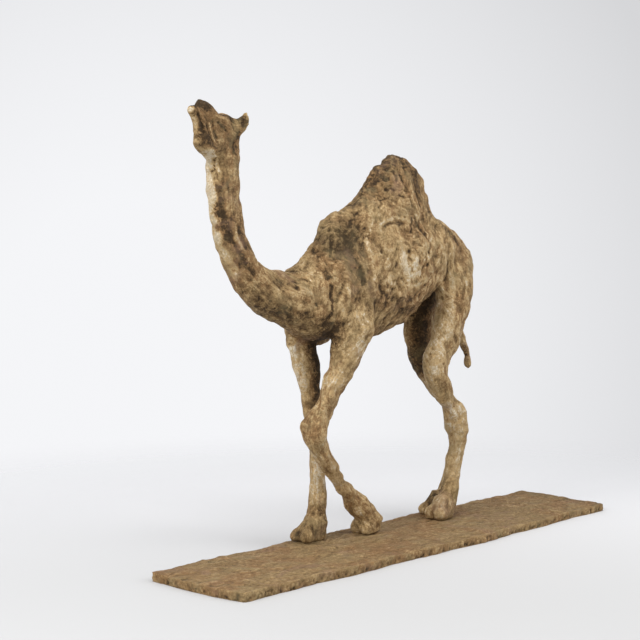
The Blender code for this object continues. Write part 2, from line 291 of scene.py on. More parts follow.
# The clay was drawn along the neck and the limbs, and down both flanks: ends in hundredths, weight.
strokes = [
    ((-51.7, 0, 90), (-51, 0, 76), 1),
    ((-51, 0, 76), (-47, 0, 65), 1),
    ((-47, 0, 65), (-38, 0, 58), 1),
    ((-38, 0, 58), (-27, 0, 57), 1),
]
for side in (-1, 1):
    strokes += [
        ((-24, 6 * side, 66), (-22, 7 * side, 50), 1.5),
        ((-14, 8 * side, 76), (-13, 8 * side, 50), 1.4),
        ((-2, 5 * side, 90), (-4, 9 * side, 60), 1.3),
        ((10, 5 * side, 90), (8, 9 * side, 60), 1.3),
        ((16, 7 * side, 78), (20, 7 * side, 56), 1.4),
        ((28, 3 * side, 72), (26, 4 * side, 54), 1.2),
    ]
strokes += [
    ((-17, -5, 50), (-26, -3, 27), 1),
    ((-26, -3, 27), (-9, -2, 8), 1),
    ((-22, 5, 50), (-19, 3, 4), 1),
    ((20, -6, 50), (15, -6, 40), 1),
    ((15, -6, 40), (27, -5, 26), 1),
    ((27, -5, 26), (23, -4, 4), 1),
    ((25, 5, 57), (23, 5, 41), 1),
    ((23, 5, 41), (37, 4, 25), 1),
    ((37, 4, 25), (28, 2, 4), 1),
    ((-49, 0, 90), (-62, -4, 97), 1),
]
stroke_lines = [on_figure(stroke[:2]) for stroke in strokes]
stroke_ways = np.array([(line[1] - line[0]) / np.linalg.norm(line[1] - line[0]) for line in stroke_lines])


def stroke_shares(points):
    """How much each stroke counts at each point: 1/d^4 from its line, all shares adding up to 1."""
    bent = points + 0.006 * wandering(points, 0.03, 101)
    weights = [stroke[2] for stroke in strokes]
    shares = np.array([w / (near_line(bent, line) + 0.006) ** 4 for w, line in zip(weights, stroke_lines)])
    return shares / shares.sum(0)


def streaks(points, shares, size, stretch, seed):
    """Waves drawn out along the strokes: space is squeezed along each stroke before the waves are read."""
    total = np.zeros(len(points))
    for share, line, way in zip(shares, stroke_lines, stroke_ways):
        near = share > 0.03
        spot = points[near]
        squeezed = spot - (1.0 - 1.0 / stretch) * ((spot - line[0]) @ way)[:, None] * way
        total[near] += share[near] * clouds(squeezed, size, seed, 2)
    return total / np.sqrt((shares * shares).sum(0))


def flat_way(points, normals, shares, loose):
    """The mean way of the strokes near each point, laid flat on the skin and swirled where it is loose."""
    total = shares.T @ stroke_ways
    swirl = waves(points, 0.055, 41) + waves(points, 0.026, 43) * 0.7 + waves(points, 0.012, 45) * 0.4
    swirl = swirl * loose
    flat = total - normals * (total * normals).sum(1)[:, None]
    flat /= np.linalg.norm(flat, axis=1)[:, None] + 1e-9
    side = np.cross(normals, flat)
    return flat * np.cos(swirl)[:, None] + side * np.sin(swirl)[:, None]


# Where the kneaded skin is nudged: place in hundredths, then in millimetres the reach, how far to
# the right, seen from in front of its left shoulder, and how far up.
eased = (
    ((-48.6, -2, 74), 16, -2.5, 0),
    ((-46.6, -2, 70.2), 14, -3, 0),
    ((-43.6, -2, 65.4), 14, -4, -2),
    ((-39.4, -2.5, 62.4), 11, 0, 3),
    ((-36.6, -1.5, 62.2), 12, 0, 7),
    ((-31.6, -1.4, 64.4), 12, 0, -9.5),
    ((-25.4, -0.8, 66.6), 10, -4, 2),
    ((-23.2, 0.9, 68.2), 13, -5, 2.5),
    ((-27.6, -1.8, 66.8), 14, -11, 1),
    ((-58.7, -2.2, 87), 12, 1, 5),
    ((-38, -1.2, 62.4), 10, 0, 1.5),
    ((-34, -0.8, 62.8), 13, 0, 7),
    ((-55.6, 0.7, 86), 11, -4, 0),
    ((-49.4, -3.7, 93.9), 8, 3.5, -1),
    ((-49.9, -3, 92.8), 6, -2, 0),
    ((-20.6, 1, 72.6), 12, 4, -1.5),
    ((-14.6, 0.4, 77), 10, 0, 2),
    ((-10.4, 0.4, 79.6), 14, 0, -3),
    ((-6.9, 1.7, 81.3), 16, 0, -1.5),
    ((-2.2, 0, 87.2), 16, -1.5, 1.5),
    ((1.9, -1.4, 91), 12, 0, -3),
    ((-0.6, -0.7, 88.5), 8, -0.5, 3),
    ((11, -4.4, 84.6), 18, -5.5, -1),
    ((15.6, -5.7, 75.5), 12, 3, 1.5),
    ((20.9, -7.2, 71.6), 12, 0, -2.5),
    ((25.1, -7.8, 67.8), 17, -5, -1.5),
    ((26.6, -8.3, 59.9), 16, 1.5, 0),
    ((23.4, -9, 49.6), 14, -2.5, 0),
    ((18.6, -8.7, 43.8), 14, -7, 0),
    ((18.4, -7.7, 35), 12, 2, 0),
    ((23.2, -7.2, 30.4), 13, -4.5, 0),
    ((26.8, -6.5, 22), 18, 3.5, 0),
    ((17.6, 5, 47), 17, -5, 0),
    ((22.4, 4.8, 35.5), 14, 3, 0),
    ((24, -4.5, 24.5), 17, -6, 0),
    ((23.6, -3.2, 14.4), 15, -3.5, 0),
    ((25.4, 1, 7), 12, -9, 0),
    ((21.5, 1.6, 3.6), 10, 8, 0),
    ((-40.4, -1.3, 53.7), 14, 0, 3.5),
    ((-35.8, -2.2, 52.3), 16, 0, 6),
    ((-23.1, -3.1, 48), 10, 0, 3.5),
    ((-15.5, 4.1, 46.6), 12, 0, 5),
    ((-19.4, 2.6, 41), 17, 3.5, 0),
    ((-21.1, -4.1, 45.4), 12, -4, 0),
    ((-23.4, -4.3, 38.4), 14, -6, 0),
    ((-17.1, -7.3, 40.5), 16, -3, 0),
    ((-19.8, -6.4, 35.2), 17, -6.5, 0),
    ((-22.6, -6, 31), 15, -8.5, 0),
    ((-28.6, -1.9, 28), 11, -5.5, 0),
    ((-24.4, 4.9, 38), 34, 2.5, 0),
    ((-19.5, -4.5, 19.5), 13, 5, 0),
    ((-16.8, -4.3, 16.5), 11, 3, 0),
    ((-11.1, -3.7, 10.8), 12, -4, -4),
    ((-19, 1, 10.7), 18, 4, 0),
    ((-20.2, 0, 4.6), 11, 6, 0),
    ((-16.5, -2.8, 11.9), 13, -5, -3),
    ((-12.7, -1.9, 7), 12, -7.5, -1.5),
    ((-11, -1, 4), 9, -5, 0),
    ((-4.5, -3.7, 3.7), 8, 7, 0),
    ((27.6, -3, 4.4), 9, 3, 0),
)
RIGHTWARD = np.array((0.68, -0.73, 0.0))
for centre, reach, right, rise in eased:
    bell = near_place(skin.points, on_figure(centre), reach * MILLIMETRE)
    skin.place(skin.points + bell[:, None] * (RIGHTWARD * right + (0.0, 0.0, rise)) * MILLIMETRE)
# The notch where the neck meets the withers was filled with soft clay.
filled = near_place(skin.points, on_figure((-34.0, -1.6, 62.4)), 0.026)
filled += near_place(skin.points, on_figure((-28.0, -2.4, 65.0)), 0.018)
NOTCH_ROUNDS = 90
blurred = skin.averaged(NOTCH_ROUNDS)
skin.place(skin.points + np.minimum(filled, 1.0)[:, None] * (blurred - skin.points))

# Furrows and folds: places in hundredths, half-width and depth in millimetres, less than 0 raised.
furrows = (
    (((-55.3, -1, 84.5), (-54.6, -1.8, 81.1), (-54.4, -1.8, 77.3), (-53.1, -2.3, 72.6),
      (-50.8, -3, 68.8), (-48.5, -3.3, 65.4)), 3.4, 1.5),
    (((-48.4, -3.3, 65), (-45, -3.9, 61.4), (-41, -4.4, 58.8)), 3, 0.8),
    (((-51.5, -3.2, 73.5), (-50.5, -3.2, 70.1), (-48.6, -3.6, 67)), 2.8, -1.2),
    (((-49.6, -3.3, 72), (-48.2, -3.4, 68.6)), 3, 1),
    (((-24.4, -6.8, 60), (-24.6, -6.9, 57.3), (-24.5, -6.9, 54.1), (-25.6, -6, 51)), 3, 1.7),
    (((-21.7, -7.7, 60.2), (-23.4, -7.1, 56.1)), 2.4, 1),
    (((-20.5, -7.9, 60.4), (-20.1, -8.4, 57)), 5, -1.4),
    (((-22.6, -7.5, 56.8), (-21.7, -7.7, 52.6)), 5, -1.3),
    (((-15.4, -7.6, 64.4), (-15, -8, 62.3), (-15.1, -8.4, 60.6)), 2.6, 2.4),
    (((-14.2, -7.9, 64.5), (-13.9, -8.3, 62), (-14, -8.6, 60)), 2.6, -1),
    (((-12.1, -4.1, 75.9), (-12, -6.2, 70.7), (-12.4, -8.1, 64.8), (-11.9, -8.7, 59)), 4, -1.2),
    (((-14.6, -5.5, 72), (-14.2, -7.6, 66)), 6, 1.2),
    (((-6.6, -6.8, 73.2), (-5.2, -6.6, 74.4), (-3.7, -6.6, 74.9), (-1.4, -6.9, 75.2),
      (0.9, -7.1, 74.7)), 2.4, 1.5),
    (((-3.6, -6.4, 76.3), (-0.7, -6.6, 76.2), (2.7, -7, 75.6)), 2.4, -1),
    (((5.6, -6.6, 76.3), (6.9, -7.4, 74), (7.9, -8.1, 71.8)), 2.2, 1.7),
    (((6.6, -6.6, 76.9), (7.9, -6.9, 74.5), (8.8, -8.2, 72.4)), 2, -1),
    (((5.3, -6.5, 78.5), (9.2, -7.8, 72), (10.6, -9.1, 64.8), (14.6, -6.3, 59.6)), 7, 0.9),
    (((18.9, -7.8, 71.2), (19.3, -7.8, 65.7), (19.4, -7.8, 58.7), (18.3, -8.3, 51.1),
      (17.1, -8.6, 46.2)), 4.5, -1.6),
    (((17.4, -7.4, 68.5), (17.7, -7.9, 65.7), (18, -7.2, 58.5)), 3, 1.1),
    (((21, -8, 69), (21.4, -8.2, 62), (20.6, -8.6, 54)), 3.6, 1.1),
    (((-8.3, -9, 60.1), (-4.8, -8.9, 59.4), (-2.3, -9.2, 59.4)), 2.2, 1),
    (((-3.1, -1.8, 85.2), (-1.6, -2.6, 85.5), (-0.4, -3.2, 86)), 2, 1.6),
    (((1.4, -3.3, 87.8), (2.3, -3.8, 86.4), (1.6, -4.4, 85.3)), 2.2, 1.8),
    (((4.1, -4.6, 85.7), (4.8, -5.3, 83.2), (5.2, -6.2, 80.5)), 2.6, 1),
    (((9.2, -4.4, 85.6), (9.2, -5, 82.6), (8.7, -5.7, 79.5)), 2.8, 1.3),
    (((-6.3, -4.8, 78.4), (-7.4, -6, 75.1)), 2.4, -1),
    (((-24.6, 6.8, 62), (-25.3, 6.8, 53.3)), 5.4, 1.8),
    (((-12, 8.4, 66), (-11.4, 8.6, 52)), 6.4, 1.6),
    (((7, 7.2, 77), (10.2, 8.8, 66), (14.6, 6.4, 59.6)), 5.1, 1.4),
    (((23.6, 7, 70), (22.6, 7.2, 55)), 5.8, 1.4),
)
head_furrows = (
    (((14.5, 0.9, 0), (13.4, 1.1, -0.7), (12.1, 1.3, -1.6), (10.6, 1.5, -2.6),
      (9.8, 1.3, -3.8)), 1.8, 2.8),
    (((14.5, -0.9, 0), (13.4, -1.1, -0.7), (12.1, -1.3, -1.6), (10.1, -1.9, -3)), 1.8, 2.6),
    (((14.6, 0.8, 0.1), (14.4, 0, 0.2), (14.6, -0.8, 0.1)), 1.6, 2.8),
    (((13.4, 1.2, -1.2), (13.1, 0.5, -2.4), (13.2, -0.5, -2.5)), 1.4, 1.4),
    (((9, 1.5, -1), (7.4, 1.6, -2.4), (6, 1.7, -3.6)), 1.9, -1),
    (((9.6, 1.5, -1.8), (8, 1.5, -3.2), (6.6, 1.6, -4.2)), 1.6, 1.5),
    (((8.4, 1.7, 0), (6.8, 1.8, -1.4), (5.4, 1.8, -2.6)), 1.5, 1.2),
    (((9.2, -2, -1), (7.2, -2.1, -2.4), (5.2, -2.1, -3.6)), 1.6, 1.4),
    (((4.4, 2.2, -5.4), (1.6, 2.6, -4), (-1.2, 2.9, -2.4)), 2.6, 0.8),
    (((4.4, -2.2, -5.4), (1.6, -2.6, -4), (-1.2, -2.9, -2.4)), 2.6, 0.8),
    (((3.2, 2.6, 3.6), (2.4, 2.7, 2.6), (1.6, 2.8, 1.6)), 2, 1.4),
)
SIDEWAYS = np.array((1.0, 0.25, 1.0))
# Small holes, and nodules where the depth is less than 0: place in hundredths, the rest in millimetres.
holes = (
    ((2.9, -7.4, 73.1), 2.3, 1.8),
    ((7.9, -8.1, 72.5), 2.2, 1.8),
    ((0.7, -9.2, 68.2), 2.8, 2.4),
    ((8, -9, 67.8), 2.8, 2.4),
    ((7.5, -9.1, 65.1), 2.8, 2.2),
    ((-8.8, -8.1, 67.9), 2.4, 1.6),
    ((-2.1, -4, 83), 2.8, 2.4),
    ((0.6, -1.1, 89), 2.6, 2),
    ((13.6, -8.7, 65.7), 1.7, 1.4),
    ((16.7, -6.9, 62.2), 1.7, 1.4),
    ((17.6, -6, 56.6), 1.9, 1.4),
    ((12.2, -6.4, 42.8), 1.8, 1.4),
    ((14.8, -8.8, 40.3), 1.8, 1.4),
    ((-33.7, -4.6, 59.6), 2.6, 1.8),
    ((-20, -1.9, 73), 2.4, 1.6),
    ((-48.2, -3.4, 68.6), 2.8, 1.8),
    ((-1.6, -9.3, 66.6), 4.2, -1.5),
    ((-1, -9.4, 64), 4.4, -1.4),
    ((2.3, -9.5, 65.6), 3.8, -1.6),
    ((-0.2, -9.7, 61.8), 4.2, -1.2),
    ((4, -9.4, 63.4), 3.8, -1.2),
    ((-3.6, -9.2, 62.8), 3.8, -1),
)


def in_head(points):
    """Metres to metres along the head, to its left and above its middle."""
    return (points - head_root) @ np.stack([head_along, head_left, head_up]).T


WAVER = 0.003
for line, width, depth in furrows:
    bent = skin.points + WAVER * wandering(skin.points, 0.02, 77)
    skin.push(-depth * MILLIMETRE * beside_line(bent, on_figure(line), width, SIDEWAYS))
for place, reach, depth in holes:
    skin.push(-depth * MILLIMETRE * near_place(skin.points, on_figure(place), reach * MILLIMETRE))
for line, width, depth in head_furrows:
    line = np.array(line) * HUNDREDTH
    skin.push(-depth * MILLIMETRE * beside_line(in_head(skin.points), line, width, SIDEWAYS))

# Built up on the head, or pressed in where the height is less than 0: centre in hundredths, reach
# and height in millimetres.
pressed = []
for side in (1.0, -1.0):
    pressed += [
        ((13.6, 1.2 * side, 1.2), (1.9, 1.7, 1.7), -2.6),
        ((12.8, 0.6 * side, 2.8), (3.2, 2.6, 2.4), 1.1),
        ((5.2, 2.4 * side, 2.2), (4.4, 4.4, 2), 1.8),
        ((5.3, 2.4 * side, 0.4), (1.9, 1.9, 1.6), 1.5),
        ((6.7, 2 * side, 0.5), (1.7, 1.7, 1.7), -1.8),
        ((3.9, 2.6 * side, 0.2), (1.8, 1.8, 1.6), -1.6),
        ((5.2, 2.6 * side, -0.8), (3.2, 3.2, 1.5), -1.2),
        ((2.8, 2.8 * side, -2.6), (6.5, 6.5, 5), 1.4),
        ((9.6, 1.8 * side, -3.8), (3.6, 3, 3.8), -2.2),
        ((2.4, 2.6 * side, 4.3), (2.2, 2.2, 2.2), -1.6),
    ]
pressed += [
    ((14.4, 0.1, -1.3), (3.4, 3.4, 3.4), 1),
    ((8.6, 0, -6.2), (5, 6, 4.5), 1.9),
    ((11.4, 0, -4), (5, 5, 3.6), 0.9),
    ((5, 0, -7.6), (3.4, 6, 3.4), -2.4),
]


def spread_at(centre, *reach):
    """Bell of 1 at a centre in metres, with its reach along x, y and z in millimetres."""
    return near_place(skin.points, centre, np.array(reach) * MILLIMETRE)


skin.push(0.0016 * spread_at(on_figure((-4.0, -7.6, 71.0)), 24, 20, 24))
skin.push(0.0010 * spread_at(on_figure((35.5, 0.0, 42.0)), 16, 20, 32))
for centre, reach, height in pressed:
    skin.push(height * MILLIMETRE * spread_at(on_head(centre), *reach))
EAR_BACK = np.array((0.73, 0.68, 0.0))
cupped = spread_at(on_head((0.9, 4.6, 4.2)), 4.5, 4.0, 7.0) * np.clip(-skin.normals @ EAR_BACK, 0.0, 1.0)
skin.push(-0.0026 * cupped)

# Regions of the skin, each from 0 to 1, that the marks and the patina differ by.
from_head = np.linalg.norm(skin.points - HEAD_MIDDLE, axis=1)
on_head_share = np.clip(1.6 - from_head / 0.05, 0.0, 1.0)
low = np.clip((0.30 - skin.points[:, 2]) / 0.06, 0.0, 1.0)
neck = np.clip((-0.165 - skin.points[:, 0]) / 0.05, 0.0, 1.0) * (1.0 - low) * (1.0 - on_head_share)
hump = spread_at(on_figure((4.0, 0.0, 87.0)), 100, 80, 60)
trunk = np.clip(1.0 - low - neck - on_head_share, 0.0, 1.0)
thigh = spread_at(on_figure((22.0, 0.0, 60.0)), 50, 200, 130)
nodules = spread_at(on_figure((0.5, -9.4, 65.8)), 26, 30, 21)
smooth = np.clip(spread_at(on_figure((-4.4, -7.4, 71.0)), 34, 40, 30) + 0.6 * thigh, 0.0, 1.0)
shares = stroke_shares(skin.points)
looseness = 0.40 + 1.3 * trunk * (1.0 - 0.8 * thigh)
grain_way = flat_way(skin.points, skin.normals, shares, looseness)
crumbly = np.clip(0.55 + 1.0 * waves(skin.points, 0.045, 15) + 0.7 * hump - 0.5 * thigh, 0.05, 1.4)
big_dabs = dabs(skin.points, skin.normals, grain_way, size=0.0190, stretch=2.4, seed=11)
small_dabs = dabs(skin.points, skin.normals, grain_way, size=0.0110, stretch=2.2, seed=29)
wide_strokes = drawn(skin.points, grain_way, size=0.0064, reach=0.007, seed=301)
thin_strokes = drawn(skin.points, grain_way, size=0.0040, reach=0.004, seed=307)
long_streaks = streaks(skin.points, shares, size=0.0056, stretch=5.0, seed=51)
cracks = creases(skin.points, size=0.020, width=0.13, seed=31)
cracks = cracks + 0.8 * creases(skin.points, size=0.012, width=0.15, seed=37)
bent = skin.points + WAVER * wandering(skin.points, 0.010, 67)
lumps = clouds(bent, size=0.014, seed=61, rounds=2)
pits = pricks(skin.points, size=0.0095, seed=60)
swells = clouds(skin.points, size=0.034, seed=141, rounds=2)

# How high each mark stands in each region, in millimetres, less than 0 cut in.
regions = np.stack([trunk, neck, low, on_head_share, hump, thigh, nodules])
marks = (
    # mark, trunk, neck, legs, head, hump, thigh, nodules
    (big_dabs * crumbly, 1.3, 0.9, 0.8, 0.3, 0, 0, 0),
    (small_dabs * crumbly, 0.6, 0.6, 0.6, 0.4, 0, 0, 0),
    (small_dabs, 0, 0, 0, 0, 0, 0, 1.8),
    (wide_strokes, 0.52, 0.44, 0.3, 0.3, 0, 0, 0),
    (thin_strokes, 0.42, 0.36, 0.2, 0.2, 0, 0, 0),
    (long_streaks, 0.1, 0.4, 0.3, 0, 0, 0.45, 0),
    (cracks * (1.0 - 0.7 * thigh), -0.9, -0.4, -0.2, 0, -1.0, 0, 0),
    (lumps, 1.2, 0.9, 0.8, 0.5, 0, 0, 0),
    (swells, 1.3, 0.7, 0, 0, 0, 0, 0),
    (pits, -0.7, -0.2, -0.4, 0, -1.2, 0, -1.2),
)
relief = np.full(len(skin.points), -0.1)
for mark, *heights in marks:
    relief += mark * (np.array(heights) @ regions)
soles = np.clip((skin.points[:, 2] - SOLE_LEVEL - 0.0005) / 0.003, 0.0, 1.0)
skin.push(relief * MILLIMETRE * soles * (1.0 - 0.45 * smooth))
standing = skin.points.copy()
standing[:, 2] = np.maximum(standing[:, 2], SOLE_LEVEL)
skin.place(standing)

# What the patina reads: metres below the blurred skin, brought to about 0 to 1, and the ways drawn.
calm = 1.0 - 0.25 * on_head_share - 0.3 * smooth
skin.keep("hollow", np.clip(skin.hollowness(3) * 2300.0, -0.35, 1.2) * calm)
skin.keep("deep", np.clip(skin.hollowness(30) * 400.0, -0.25, 1.3))
skin.keep("streak", long_streaks * (0.2 + 0.8 * np.clip(1.0 - trunk + thigh, 0.0, 1.0)) + 0.5 * wide_strokes)
skin.keep("grain", grain_way)

# Pale and dark patches laid on in places: line in hundredths, reach in millimetres and strength.
# Most are the patina's own; the painted highlight and painted shade among them are marked.
pale_lines = (
    (((-7.6, -4.7, 78.4), (-9.8, -5.9, 74), (-12, -6.8, 70), (-11.3, -8.4, 64.1),
      (-12.2, -8.6, 61.3)), 4.5, 0.6),
    (((-6.6, -6.3, 74.8), (-1.9, -6.4, 76.4), (2, -6.9, 75.8), (4.5, -7.4, 74.1)), 2.6, 0.7),
    (((6.4, -6.5, 77.1), (8.7, -6.5, 75.5), (8.9, -7.9, 72.8), (10.3, -8.4, 70.3)), 2.4, 0.7),
    (((15, -7.2, 73.7), (12.7, -8.8, 67.4)), 3, 0.55),
    (((-8.4, -9, 61.3), (-2.9, -9.1, 59.6), (3.3, -9.7, 60.1), (9.5, -8.5, 61.7)), 3, 0.6),
    # Painted highlight: the bright strip down the front of the neck, from the throat, along its lit left
    # edge.
    (((-59.3, -4.1, 88.7), (-58.4, -3.5, 87.4), (-56, -0.5, 86.6), (-55.5, -0.2, 83.9),
      (-55.1, -0.1, 77.5), (-54.6, 0.2, 73.9), (-53.7, 0.2, 70.9)), 5, 1.3),
    (((-53.4, -0.2, 70), (-52.1, -1, 66.6), (-50.8, -1.2, 64.5), (-49.3, -1.4, 62.3)), 5, 0.8),
    (((-57, -1.8, 87.2), (-56.2, -0.8, 86.4), (-55.8, -0.5, 84.8)), 5, 1.4),
    (((-56.2, 0.3, 86), (-55.6, 0.4, 80), (-55, 0.4, 74)), 6, 1),
    (((-55.4, -0.7, 80), (-55.1, -1.3, 81.5)), 6, 0.6),
    (((-53, -2.8, 78.5), (-51.9, -2.9, 76), (-50.5, -3, 75.4)), 7, 0.3),
    (((-51, -3.2, 72.6), (-50.5, -3.2, 70.1), (-49.7, -3.3, 68.4)), 3, 0.8),
    (((-34.3, -5, 56.1), (-33.4, -5.2, 55.2)), 5, 0.5),
    (((-39, -4.6, 57.5), (-37, -5, 57)), 6, 0.25),
    (((-20.5, -7.9, 59.8), (-20.1, -8.4, 57.9)), 5, 0.55),
    (((-22.4, -7.7, 56.8), (-21.7, -7.7, 53.6)), 5, 0.5),
    (((-1.6, -9.3, 66.6), (-1, -9.4, 64)), 7, 1.9),
    (((2.3, -9.5, 65.8), (2, -9.5, 65)), 6, 1.5),
    (((-0.2, -9.7, 61.8), (4, -9.4, 63.2)), 6.5, 0.9),
    (((-7, -9, 62.5), (-4, -9.1, 62)), 8, 0.5),
    (((-6, -7.4, 73), (-2, -8, 70)), 16, 0.35),
    (((18.9, -7.8, 71.2), (19.3, -7.8, 65.7), (19.4, -7.8, 58.7), (18.3, -8.3, 51.1),
      (17.1, -8.6, 46.2)), 5, 0.3),
    (((14.9, -7.4, 46.2), (14.9, -8.8, 42.3), (12.6, -8, 38.3)), 12, 0.35),
    (((13, -8.8, 62), (14.5, -8, 52)), 15, 0.35),
    (((20, -8.6, 60), (18, -8.6, 44)), 24, 0.15),
    (((25, -6, 26), (24, -5.6, 8)), 9, 0.4),
    # Painted highlight on the far foreleg's lit left edge.
    (((-23.8, 4.4, 47), (-21.8, 4.4, 20)), 7, 0.8),
    (((-18, -7.6, 46), (-24, -6, 30)), 15, 0.35),
    (((-12, -4, 14), (-4, -3, 4)), 9, 0.35),
)
dark_lines = (
    (((3.7, -6.8, 76.6), (3.3, -7.4, 73.4)), 2.2, 0.7),
    (((8, -7.1, 74), (8.8, -8.4, 71)), 2, 0.8),
    (((-8.9, -8.6, 58.3), (-3.7, -8.3, 56.5), (1.7, -9.1, 56.9)), 3.4, 0.8),
    (((-56, -1.9, 87), (-55.3, -1, 84.5), (-54.6, -1.8, 81.1)), 2.4, 0.7),
    (((-54.6, -1.8, 81.1), (-54.3, -2.1, 78.9), (-54.4, -1.8, 77.3), (-53.6, -2.2, 75.1)), 3.2, 1),
    (((-54, -2, 75.6), (-53.3, -2.2, 73.4), (-52.1, -2.5, 70.9)), 5.5, 0.9),
    (((-52.1, -2.5, 70.5), (-50.8, -3, 68.8), (-49.7, -3.3, 66.9), (-48, -3.3, 65),
      (-46, -3.6, 62.5)), 2.8, 0.8),
    (((-52.4, -1.8, 69.2), (-50.6, -2.4, 65.6)), 2.2, 0.6),
    (((-49.6, -3.3, 72), (-48.2, -3.4, 68.6)), 4, 0.7),
    (((-46.3, -2.5, 59.3), (-44.5, -3.3, 58.8), (-42.8, -2.7, 56.2), (-35.2, -3.9, 54.1),
      (-29, -5, 52.6)), 8, 0.28),
    (((-33.7, -4.6, 59.6), (-34.9, -3.7, 61)), 4, 0.5),
    (((-24.4, -6.8, 60), (-24.6, -6.9, 57.3), (-24.5, -6.9, 54.1), (-25.5, -6.2, 51)), 2.6, 0.8),
    (((-21.7, -7.7, 60.2), (-23.4, -7.1, 56.1)), 2, 0.4),
    (((-25.5, -6, 51.5), (-23.6, -5.5, 50)), 8, 0.7),
    (((-15.4, -7.6, 64.1), (-15, -8, 62.3), (-15.1, -8.4, 60.9)), 3, 1.1),
    (((-17, -4.4, 70), (-18.1, -5.4, 67.6), (-20, -6.4, 65)), 11, 0.25),
    (((-15.9, -3.4, 74), (-16.1, -4.6, 70.7), (-17.4, -6.6, 66.4)), 9, 0.3),
    (((-16.6, -7, 66.4), (-15.5, -8.3, 60), (-15, -8.6, 56)), 9, 0.35),
    (((-6.6, -6.8, 73.2), (-3.7, -6.6, 74.9), (0.9, -7.1, 74.7)), 2.6, 0.6),
    (((5.6, -6.6, 76.3), (6.9, -7.4, 74), (7.9, -8.1, 71.8)), 2.4, 0.8),
    (((3.6, -6.8, 76), (6, -8, 70)), 9, 0.3),
    (((-11.6, -8.6, 57), (-2.1, -7.7, 54), (6.9, -7.6, 55), (14.8, -5.6, 58)), 9, 0.3),
    (((-3.1, -1.8, 85.2), (-0.4, -3.2, 86)), 2.2, 0.7),
    (((1.4, -3.3, 87.8), (2.3, -3.8, 86.4), (1.6, -4.4, 85.3)), 2.2, 0.7),
    (((4.1, -4.6, 85.7), (5.2, -6.2, 80.5)), 3.4, 0.4),
    (((10.1, -3.8, 87.2), (9.5, -5.3, 81)), 6, 0.6),
    (((-10, 0, 80), (0, 0, 89), (6, 0, 92.5), (10, 0, 88)), 17, 0.5),
    (((16.6, -5.6, 75), (19.9, -6.6, 72.8), (22.5, -6.6, 70.5)), 5, 0.9),
    (((17.7, -7.9, 65.7), (18.2, -7.2, 59.9)), 2.6, 0.45),
    (((21.9, -8.4, 62.4), (22.4, -8.9, 57.4), (21.5, -9, 53.1)), 8, 0.35),
    # Painted shade on the inner sides of the far legs, which lie in shade, and low on the far fore foot and
    # hind feet.
    (((23.9, 1.5, 57.5), (19.6, 2.5, 52), (20.9, 2.7, 46.9), (20.6, 3.1, 41.7),
      (21.3, 4.3, 38.3)), 13, 1.2),
    (((-22, 0.5, 50), (-18, 1.5, 40), (-18.4, 1, 30)), 17, 1.1),
    (((-19.6, 1.6, 8), (-20, 1, 2)), 14, 0.5),
    (((23, 0, 8), (24, 0, 2)), 14, 0.6),
    (((34.6, 0, 43.4), (35.6, 0, 41.8)), 4, 0.9),
)
head_dark_lines = (
    # Painted shade on the right, bottom and top of the lip's ball, round its painted highlight.
    (((14.3, 1.2, -0.9), (14, 1.1, -2.1), (13.8, 0.2, -2.9)), 1.5, 0.8),
    (((14.9, -0.3, -0.3), (14.4, 0.9, -0.4)), 2, 0.9),
    (((12.9, 0.6, 1.8), (11.2, 0.9, 2.2)), 8.5, 1.6),
    (((2.8, 2.7, 4), (2.4, 2.8, 3.6)), 3.2, 1.2),
    (((14.6, 0.4, 0.3), (13.6, 0.9, 1)), 4, 0.8),
    (((14.2, 1.1, -0.3), (12.8, 1.2, -1.3), (11.2, 1.4, -2.4), (10.4, 1.3, -3.2)), 2.8, 0.9),
    (((10.2, 1.6, -3), (9.3, 1.6, -4.6)), 4, 1.1),
    (((8.2, 1.5, -4), (7, 1.7, -5)), 5, 1.1),
    (((8.6, 0.6, -6), (8.4, 0.6, -5.8)), 3, 0.8),
    (((6.8, 1, 2.9), (5.2, 1.3, 3.5), (3.7, 1.9, 3.7), (3, 2.5, 3.4)), 2.6, 1),
    (((9.6, 1.5, -1.8), (6.6, 1.6, -4.2)), 2, 0.6),
    (((8.4, 1.7, 0), (5.4, 1.8, -2.6)), 2, 0.5),
    (((0.6, 2.9, 1.8), (0, 2.9, 0), (-0.9, 2.9, -2.2)), 4.6, 0.7),
    (((3, 2.1, -2.4), (1.6, 2.4, -3.6)), 5, 0.4),
    (((1.2, 4.3, 4.6), (0.5, 4.4, 3.4)), 3.4, 1.1),
    (((1.4, 4.8, 5.6), (0.2, 5, 4.6)), 2, 0.6),
    (((6.6, 1.9, 0.5), (4, 2.5, 0.2)), 2, 0.6),
)
head_pale_lines = (
    # Painted highlight on the left of the lip's ball.
    (((14.8, 0.1, -1.7), (14.7, 0.1, -1.5)), 2.6, 1.7),
    (((5, 1.3, -6.6), (4, 1, -7.6)), 4, 1.2),
    (((13.6, 0, -2.6), (12.2, -0.2, -3), (10.8, -0.3, -4.2), (9.6, -0.4, -5.8),
      (8.9, -0.2, -6.6)), 4.4, 0.95),
    (((8.9, 1.5, -1.1), (7.3, 1.6, -2.5), (5.9, 1.7, -3.7)), 2.4, 0.45),
    (((1.8, 3.3, 3.9), (1.4, 3.8, 3.6)), 3.4, 0.5),
    (((7.6, 0, -6.4), (6, 1.8, -6)), 4, 0.35),
    (((6.4, 1.6, 1.6), (4.4, 2, 2)), 5, 0.3),
)
mottled = skin.points + 0.0024 * wandering(skin.points, 0.008, 211, 2)
heading = in_head(skin.points)
FLANKWAYS = np.array((1.0, 0.4, 1.0))
pale = np.zeros(len(skin.points))
dark = np.zeros(len(skin.points))
